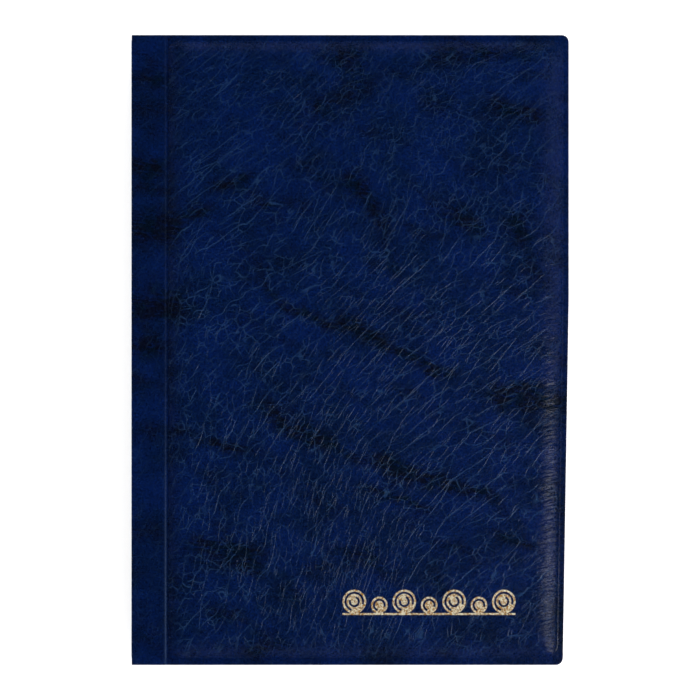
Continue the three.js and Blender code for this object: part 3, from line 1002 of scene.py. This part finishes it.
def spine_lining_vinyl():
    """The lining's finish on a CAD node, which has no cloth coordinates."""
    s = Shader("spine_lining_vinyl")
    place = s.node("TexCoord").outputs["Object"]
    weave = s.noise(place, 1500.0, detail=2.0)
    colour = s.mix(weave, srgb(11, 22, 48), srgb(20, 34, 68))
    return s.principled(Base_Color=colour, Roughness=0.5, Normal=s.bump(weave, 0.03 * MM))


# ---------------------------------------------------------------- the album


def dress(node, material):
    """Gives a CAD node, which keeps its shape, its finish."""
    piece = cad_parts[node]
    piece.data.materials.clear()
    piece.data.materials.append(material)


def make_covers():
    skin, lining, filling, board = leatherette(), lining_vinyl(), foam(), grey_board()
    front, back = Cover(FRONT_SEED, resting=False), Cover(BACK_SEED, resting=True)

    front_skin = wrapping_sheet("front_leatherette", front, 0.6 * MM, FRONT_STREAKS, skin)
    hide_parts("front_cover_skin", "spine_skin")
    fold_z = SHEET_Z
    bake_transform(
        front_skin, "spine", "front_cover", start=(SPINE_X, 0, fold_z), end=(FOLD_X, 0, fold_z + SKIN)
    )

    back_skin = wrapping_sheet("back_leatherette", back, 0.9 * MM, (), skin, back=True)
    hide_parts("back_cover_skin")
    fold_z = 2 * MIDDLE_Z - SHEET_Z
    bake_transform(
        back_skin, "back_cover", "spine", start=(FOLD_X, 0, fold_z - SKIN), end=(SPINE_X, 0, fold_z)
    )

    for side, low, high in (
        ("front", front_lining_low, front_lining_high),
        ("back", back_lining_low, back_lining_high),
    ):
        body = f"{side}_cover"
        pad = padding(f"{side}_padding", filling, back=side == "back")
        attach(pad, body)
        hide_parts(f"{side}_cover_foam")
        inside = inside_sheet(f"{side}_inside", low, high, side == "back", lining)
        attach(inside, body)
        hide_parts(f"{side}_cover_lining")
        dress(f"{side}_cover_board", board)

    emblem = foil_emblem(front, gold_foil())
    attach(emblem, "front_cover")
    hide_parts("foil_emblem")


def make_spine():
    dress("spine_board", grey_board())
    dress("spine_lining", spine_lining_vinyl())
    beads = binding_beads(binding_vinyl())
    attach(beads, "spine")
    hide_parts("binding_strip")


def make_pages():
    film = clear_vinyl("clear_film", 0.13)
    pocket = clear_vinyl("clear_pocket", 0.17)
    for number in range(1, PAGES + 1):
        body = f"page_{number}"
        sheet = page_sheet(number, film)
        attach(sheet, body)
        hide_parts(f"{body}_film")
        pockets = page_pockets(number, pocket)
        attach(pockets, body)
        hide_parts(*(f"{body}_pockets_row_{row}" for row in range(1, 5)))


# ---------------------------------------------------------------- stage, light and camera

VIEW_WIDTH = 200 * MM
LENS = 100
SENSOR = 36
STAGE_RADIUS = 3.0
WALL_HEIGHT = 0.9


def white_stage(name, glow):
    s = Shader(name)
    diffuse = s.node("BsdfDiffuse", {"Color": (0.9, 0.9, 0.9, 1)}).outputs[0]
    light = s.node("Emission", {"Color": (1, 1, 1, 1), "Strength": glow}).outputs[0]
    return s.done(s.node("AddShader", {0: diffuse, 1: light}).outputs[0])


def make_stage():
    """A pale floor with a low pale wall far behind it, all the way round."""
    turn = np.linspace(0, 2 * math.pi, 97)[:-1]
    ring = [(STAGE_RADIUS * math.cos(a), STAGE_RADIUS * math.sin(a), 0) for a in turn]
    top = [(x, y, WALL_HEIGHT) for x, y, _ in ring]
    count = len(ring)
    walls = [[i, (i + 1) % count, count + (i + 1) % count, count + i] for i in range(count)]
    for name, points, faces, glow in (
        ("floor", ring, [list(range(count))], 0.65),
        ("wall", ring + top, walls, 0.95),
    ):
        mesh = bpy.data.meshes.new(name)
        mesh.from_pydata(points, [], faces)
        mesh.materials.append(white_stage(name + "_white", glow))
        piece = bpy.data.objects.new(name, mesh)
        piece.visible_glossy = False
        bpy.context.scene.collection.objects.link(piece)
    bpy.data.objects["floor"].location.z = cad_low.z - 0.05 * MM


def softbox(name, azimuth, elevation, distance, width, height, radiance, in_gloss, in_colour):
    """A rectangular light that faces the album. Angles in degrees, radiance against a white page's 1."""
    turn, rise = math.radians(azimuth), math.radians(elevation)
    out = (math.cos(turn) * math.cos(rise), math.sin(turn) * math.cos(rise), math.sin(rise))
    place = distance * Vector(out)
    data = bpy.data.lights.new(name, "AREA")
    data.shape = "RECTANGLE"
    data.size, data.size_y = width, height
    data.energy = radiance * math.pi * width * height
    lamp = bpy.data.objects.new(name, data)
    lamp.location = place
    lamp.rotation_euler = (-place).to_track_quat("-Z", "Y").to_euler()
    lamp.visible_camera = False
    lamp.visible_glossy = in_gloss
    lamp.visible_diffuse = in_colour
    bpy.context.scene.collection.objects.link(lamp)


def make_light():
    """Broad soft light, strongest from the right, and panels that only the gloss shows."""
    softbox("right_softbox", -12, 44, 0.95, 0.7, 0.5, 3.9, False, True)
    softbox("left_softbox", 172, 46, 1.2, 0.8, 0.6, 0.6, False, True)
    softbox("head_softbox", 90, 30, 1.2, 0.8, 0.6, 4.7, False, True)
    softbox("foot_softbox", -90, 34, 1.2, 0.8, 0.6, 2.7, False, True)
    softbox("spine_head_panel", 140, 14, 1.6, 1.2, 0.3, 0.16, True, False)
    softbox("fore_foot_panel", -45, 16, 1.6, 1.2, 0.4, 0.45, True, False)
    softbox("right_panel", -34, 37, 0.44, 0.09, 0.18, 6.4, True, False)
    world = bpy.data.worlds.new("dim_room")
    world.use_nodes = True
    world.node_tree.nodes["Background"].inputs["Color"].default_value = (1, 1, 1, 1)
    world.node_tree.nodes["Background"].inputs["Strength"].default_value = 0.008
    bpy.context.scene.world = world


def make_camera():
    """Straight above the album, far enough back to show it almost without perspective."""
    data = bpy.data.cameras.new("camera")
    data.lens, data.sensor_width = LENS, SENSOR
    distance = VIEW_WIDTH * LENS / SENSOR
    data.clip_start, data.clip_end = distance / 100, distance * 20
    camera = bpy.data.objects.new("camera", data)
    camera.location = (0, 0, SHEET_Z + SKIN + distance)
    bpy.context.scene.collection.objects.link(camera)
    bpy.context.scene.camera = camera


make_camera()
make_light()
make_stage()
make_covers()
make_spine()
make_pages()
bpy.context.scene.view_settings.view_transform = "Standard"
# Each page is four clear surfaces deep, and a stack of them comes out darker with the usual eight.
bpy.context.scene.cycles.transparent_max_bounces = 48

bpy.context.view_layer.update()
